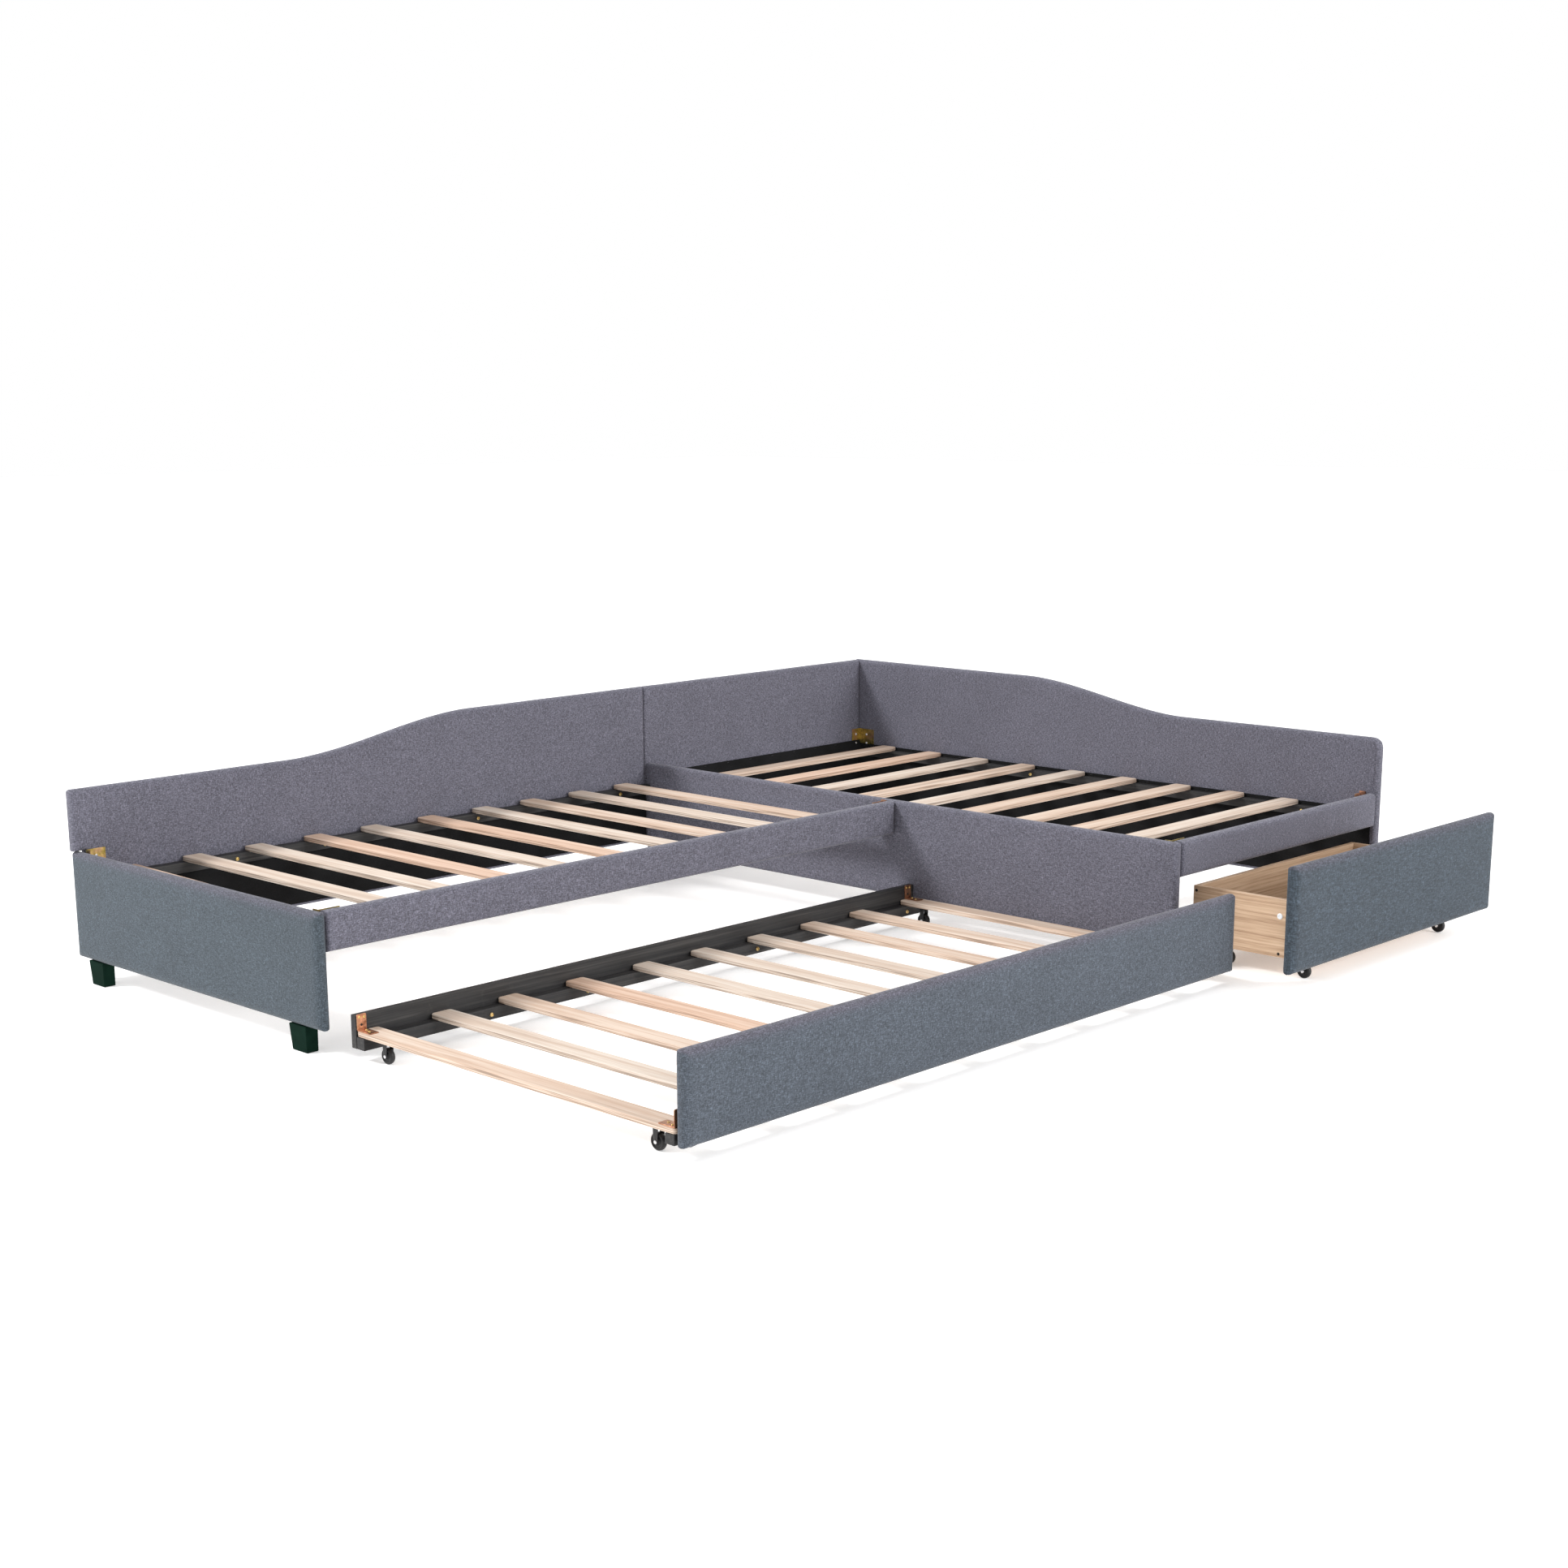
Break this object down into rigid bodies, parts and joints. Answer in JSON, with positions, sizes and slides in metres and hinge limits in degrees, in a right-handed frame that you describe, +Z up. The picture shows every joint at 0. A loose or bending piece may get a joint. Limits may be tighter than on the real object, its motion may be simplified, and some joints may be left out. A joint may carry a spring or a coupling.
{
  "type": "trundle bed",
  "caption": "L-shaped upholstered pair of twin platform beds with curved backs, slatted bases, a pull-out trundle on casters and a rolling foot drawer.",
  "frame": {"origin": "middle of the whole object's footprint on the floor, trundle and drawer pulled out", "axes": "+X along bed A from its footboard to the side panel, +Y towards the back panels, +Z up"},
  "size_m": [3.03, 2.366, 0.577],
  "materials": {
    "fabric": "heathered grey linen-look weave over thin padding",
    "black_wood": "black satin paint over wood",
    "slat_wood": "unfinished pale poplar plywood",
    "drawer_wood": "oak-grain laminate board",
    "foot_plastic": "black moulded plastic",
    "zinc": "yellow zinc-plated pressed steel",
    "copper_zinc": "copper-coloured zinc-plated steel",
    "caster_frame": "black caster frame",
    "caster_tread": "black nylon wheel"
  },
  "bodies": {
    "bed_frame": {"back_panel_long": "fabric", "back_panel_short": "fabric", "side_panel": "fabric", "divider_panel": "fabric", "footboard": "fabric", "front_rail": "fabric", "foot_rail": "fabric", "bed_a_slat_deck": "slat_wood", "bed_b_slat_deck": "slat_wood", "foot_footboard_back": "foot_plastic", "foot_footboard_front": "foot_plastic", "foot_divider_back": "foot_plastic", "foot_divider_front": "foot_plastic", "foot_side_back": "foot_plastic", "foot_side_front": "foot_plastic", "bracket_footboard_back": "zinc", "bracket_footboard_rail": "zinc", "bracket_divider_rail": "zinc", "bracket_back_corner": "zinc", "bracket_side_foot": "zinc", "bracket_divider_foot": "zinc"},
    "trundle": {"trundle_front_panel": "fabric", "trundle_back_rail": "black_wood", "trundle_ledger_front": "black_wood", "trundle_ledger_rear": "black_wood", "trundle_slat_01": "slat_wood", "trundle_slat_02": "slat_wood", "trundle_slat_03": "slat_wood", "trundle_slat_04": "slat_wood", "trundle_slat_05": "slat_wood", "trundle_slat_06": "slat_wood", "trundle_slat_07": "slat_wood", "trundle_slat_08": "slat_wood", "trundle_slat_09": "slat_wood", "trundle_slat_10": "slat_wood", "trundle_bracket_left_front": "copper_zinc", "trundle_bracket_left_rear": "copper_zinc", "trundle_bracket_right_front": "copper_zinc", "trundle_bracket_right_rear": "copper_zinc", "trundle_caster_fork_left_front": "caster_frame", "trundle_caster_fork_left_rear": "caster_frame", "trundle_caster_fork_right_front": "caster_frame", "trundle_caster_fork_right_rear": "caster_frame"},
    "drawer": {"drawer_front_panel": "fabric", "drawer_wall_left": "drawer_wood", "drawer_wall_right": "drawer_wood", "drawer_wall_rear": "drawer_wood", "drawer_bottom": "drawer_wood", "drawer_caster_fork_left_front": "caster_frame", "drawer_caster_fork_left_rear": "caster_frame", "drawer_caster_fork_right_front": "caster_frame", "drawer_caster_fork_right_rear": "caster_frame"},
    "trundle_wheel_left_front": {"trundle_caster_wheel_left_front": "caster_tread"},
    "trundle_wheel_left_rear": {"trundle_caster_wheel_left_rear": "caster_tread"},
    "trundle_wheel_right_front": {"trundle_caster_wheel_right_front": "caster_tread"},
    "trundle_wheel_right_rear": {"trundle_caster_wheel_right_rear": "caster_tread"},
    "drawer_wheel_left_front": {"drawer_caster_wheel_left_front": "caster_tread"},
    "drawer_wheel_left_rear": {"drawer_caster_wheel_left_rear": "caster_tread"},
    "drawer_wheel_right_front": {"drawer_caster_wheel_right_front": "caster_tread"},
    "drawer_wheel_right_rear": {"drawer_caster_wheel_right_rear": "caster_tread"}
  },
  "joints": [
    {"name": "trundle_slide", "type": "slide", "parent": "bed_frame", "child": "trundle", "axis": [0, 1, 0], "range_m": [-0.1, 1.092]},
    {"name": "drawer_slide", "type": "slide", "parent": "bed_frame", "child": "drawer", "axis": [0, 1, 0], "range_m": [-0.06, 0.317]},
    {"name": "trundle_wheel_spin_left_front", "type": "hinge", "parent": "trundle", "child": "trundle_wheel_left_front", "pos_m": [-1.434, -0.9067, 0.019], "axis": [1, 0, 0], "continuous": true},
    {"name": "trundle_wheel_spin_left_rear", "type": "hinge", "parent": "trundle", "child": "trundle_wheel_left_rear", "pos_m": [-1.434, -0.0273, 0.019], "axis": [1, 0, 0], "continuous": true},
    {"name": "trundle_wheel_spin_right_front", "type": "hinge", "parent": "trundle", "child": "trundle_wheel_right_front", "pos_m": [0.428, -0.9067, 0.019], "axis": [1, 0, 0], "continuous": true},
    {"name": "trundle_wheel_spin_right_rear", "type": "hinge", "parent": "trundle", "child": "trundle_wheel_right_rear", "pos_m": [0.428, -0.0273, 0.019], "axis": [1, 0, 0], "continuous": true},
    {"name": "drawer_wheel_spin_left_front", "type": "hinge", "parent": "drawer", "child": "drawer_wheel_left_front", "pos_m": [0.639, -1.116, 0.019], "axis": [1, 0, 0], "continuous": true},
    {"name": "drawer_wheel_spin_left_rear", "type": "hinge", "parent": "drawer", "child": "drawer_wheel_left_rear", "pos_m": [0.639, -0.891, 0.019], "axis": [1, 0, 0], "continuous": true},
    {"name": "drawer_wheel_spin_right_front", "type": "hinge", "parent": "drawer", "child": "drawer_wheel_right_front", "pos_m": [1.343, -1.116, 0.019], "axis": [1, 0, 0], "continuous": true},
    {"name": "drawer_wheel_spin_right_rear", "type": "hinge", "parent": "drawer", "child": "drawer_wheel_right_rear", "pos_m": [1.343, -0.891, 0.019], "axis": [1, 0, 0], "continuous": true}
  ],
  "couplings": [
    {"joint": "trundle_wheel_spin_left_front", "follows": "trundle_slide", "rad_per_m": -52.632},
    {"joint": "trundle_wheel_spin_left_rear", "follows": "trundle_slide", "rad_per_m": -52.632},
    {"joint": "trundle_wheel_spin_right_front", "follows": "trundle_slide", "rad_per_m": -52.632},
    {"joint": "trundle_wheel_spin_right_rear", "follows": "trundle_slide", "rad_per_m": -52.632},
    {"joint": "drawer_wheel_spin_left_front", "follows": "drawer_slide", "rad_per_m": -52.632},
    {"joint": "drawer_wheel_spin_left_rear", "follows": "drawer_slide", "rad_per_m": -52.632},
    {"joint": "drawer_wheel_spin_right_front", "follows": "drawer_slide", "rad_per_m": -52.632},
    {"joint": "drawer_wheel_spin_right_rear", "follows": "drawer_slide", "rad_per_m": -52.632}
  ]
}
